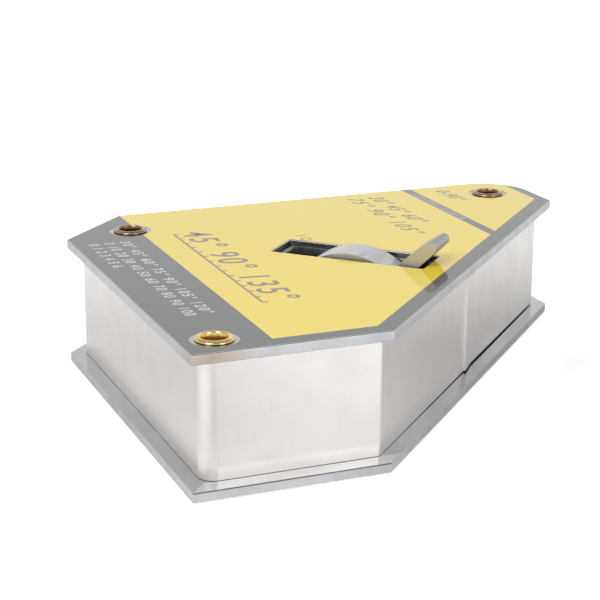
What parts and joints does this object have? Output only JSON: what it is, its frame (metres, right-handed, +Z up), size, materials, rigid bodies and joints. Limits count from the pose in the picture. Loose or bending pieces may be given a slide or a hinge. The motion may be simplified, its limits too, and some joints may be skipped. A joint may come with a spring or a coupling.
{
  "type": "welding magnet holder",
  "caption": "Flat switchable welding magnet: two steel pole plates, sheet side band, hollow rivets and a slot lever that turns an inner magnet rotor on or off.",
  "frame": {"origin": "under the middle of the bounding box, on the bottom plate's lower face", "axes": "+X along the long back edge, +Y from the front edge to the back edge, +Z up through the plates"},
  "size_m": [0.152, 0.1306, 0.0431],
  "materials": {
    "plate_steel": "satin zinc-plated steel with fine shear marks",
    "band_steel": "semi-bright rolled sheet",
    "label_print": "glossy yellow and grey printed laminate",
    "rivet_brass": "bright drawn brass",
    "lever_zinc": "satin zinc casting",
    "well_steel": "dull folded sheet",
    "shaft_steel": "ground steel",
    "pole_iron": "machined soft iron",
    "magnet": "dull ground magnet",
    "bearing_bronze": "turned bronze"
  },
  "bodies": {
    "case": {"bottom_plate": "plate_steel", "top_plate": "plate_steel", "side_band": "band_steel", "top_label": "label_print", "rivet_front": "rivet_brass", "rivet_clipped_corner": "rivet_brass", "rivet_nose": "rivet_brass", "lever_well": "well_steel", "front_pole_block_upper": "pole_iron", "front_pole_block_lower": "pole_iron", "front_split_bar_a": "rivet_brass", "front_split_bar_b": "rivet_brass", "front_bearing_block": "plate_steel", "front_bearing_bush": "bearing_bronze", "back_pole_block_upper": "pole_iron", "back_pole_block_lower": "pole_iron", "back_split_bar_a": "rivet_brass", "back_split_bar_b": "rivet_brass", "back_bearing_block": "plate_steel", "back_bearing_bush": "bearing_bronze"},
    "switch": {"lever": "lever_zinc", "lever_key_pin": "shaft_steel", "rotor_shaft": "shaft_steel", "front_rotor_inner_disc": "rivet_brass", "front_rotor_outer_disc": "rivet_brass", "front_rotor_pole_a": "pole_iron", "front_rotor_pole_b": "pole_iron", "front_magnet_upper": "magnet", "front_magnet_lower": "magnet", "front_retaining_clip": "shaft_steel", "back_rotor_inner_disc": "rivet_brass", "back_rotor_outer_disc": "rivet_brass", "back_rotor_pole_a": "pole_iron", "back_rotor_pole_b": "pole_iron", "back_magnet_upper": "magnet", "back_magnet_lower": "magnet", "back_retaining_clip": "shaft_steel"}
  },
  "joints": [
    {"name": "lever_turn", "type": "hinge", "parent": "case", "child": "switch", "pos_m": [-0.0063, 0.00065, 0.018], "axis": [-0.7071, -0.7071, 0], "range_deg": [0, 90]}
  ]
}
